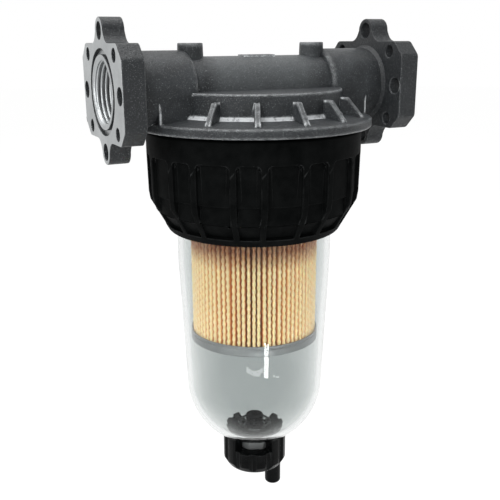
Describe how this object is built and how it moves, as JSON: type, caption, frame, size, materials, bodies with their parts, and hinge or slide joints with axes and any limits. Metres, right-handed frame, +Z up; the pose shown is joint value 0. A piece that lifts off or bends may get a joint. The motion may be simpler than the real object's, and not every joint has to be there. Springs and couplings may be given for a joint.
{
  "type": "diesel fuel filter",
  "caption": "Inline diesel fuel filter: flanged aluminium head, hand-turned ring nut, clear bowl with drain tap and pleated paper cartridge.",
  "frame": {"origin": "centre of the inlet port on its machined flange face", "axes": "+X along the port axis from inlet to outlet, +Z up, away from the bowl"},
  "size_m": [0.166, 0.128, 0.2796],
  "materials": {
    "head_paint": "satin dark grey paint over a sand-textured casting, bare machined faces",
    "nut_plastic": "matte black moulded plastic",
    "bowl_clear": "clear moulded plastic",
    "seal_rubber": "black rubber",
    "filter_paper": "resin-treated filter paper",
    "cap_steel": "dull plated sheet steel",
    "bond": "grey potting compound",
    "tap_plastic": "black satin moulded plastic"
  },
  "bodies": {
    "head": {"head_casting": "head_paint"},
    "cartridge": {"cartridge_pleats": "filter_paper", "cartridge_core": "cap_steel", "cartridge_bottom_cap": "cap_steel", "cartridge_top_cap": "cap_steel", "cartridge_bottom_bond": "bond", "cartridge_top_bond": "bond", "cartridge_grommet": "seal_rubber"},
    "bowl": {"bowl": "bowl_clear", "bowl_oring": "seal_rubber", "drain_stem": "tap_plastic", "drain_stem_seal": "seal_rubber"},
    "nut": {"ring_nut": "nut_plastic"},
    "tap_disc": {"drain_disc": "seal_rubber"},
    "tap": {"drain_knob": "tap_plastic", "drain_knob_ring": "seal_rubber"}
  },
  "joints": [
    {"name": "bowl_travel", "type": "slide", "parent": "head", "child": "bowl", "axis": [0, 0, -1], "range_m": [0, 0.015]},
    {"name": "nut_turn", "type": "hinge", "parent": "bowl", "child": "nut", "pos_m": [0.083, 0, -0.04], "axis": [0, 0, -1], "range_deg": [0, 900]},
    {"name": "cartridge_pull", "type": "slide", "parent": "head", "child": "cartridge", "axis": [0, 0, -1], "range_m": [0, 0.015]},
    {"name": "tap_travel", "type": "slide", "parent": "bowl", "child": "tap_disc", "axis": [0, 0, -1], "range_m": [0, 0.0015]},
    {"name": "tap_turn", "type": "hinge", "parent": "tap_disc", "child": "tap", "pos_m": [0.083, 0, -0.22], "axis": [0, 0, -1], "range_deg": [0, 360]}
  ],
  "couplings": [
    {"joint": "bowl_travel", "follows": "nut_turn", "m_per_rad": 0.00095492},
    {"joint": "tap_travel", "follows": "tap_turn", "m_per_rad": 0.00023873}
  ]
}
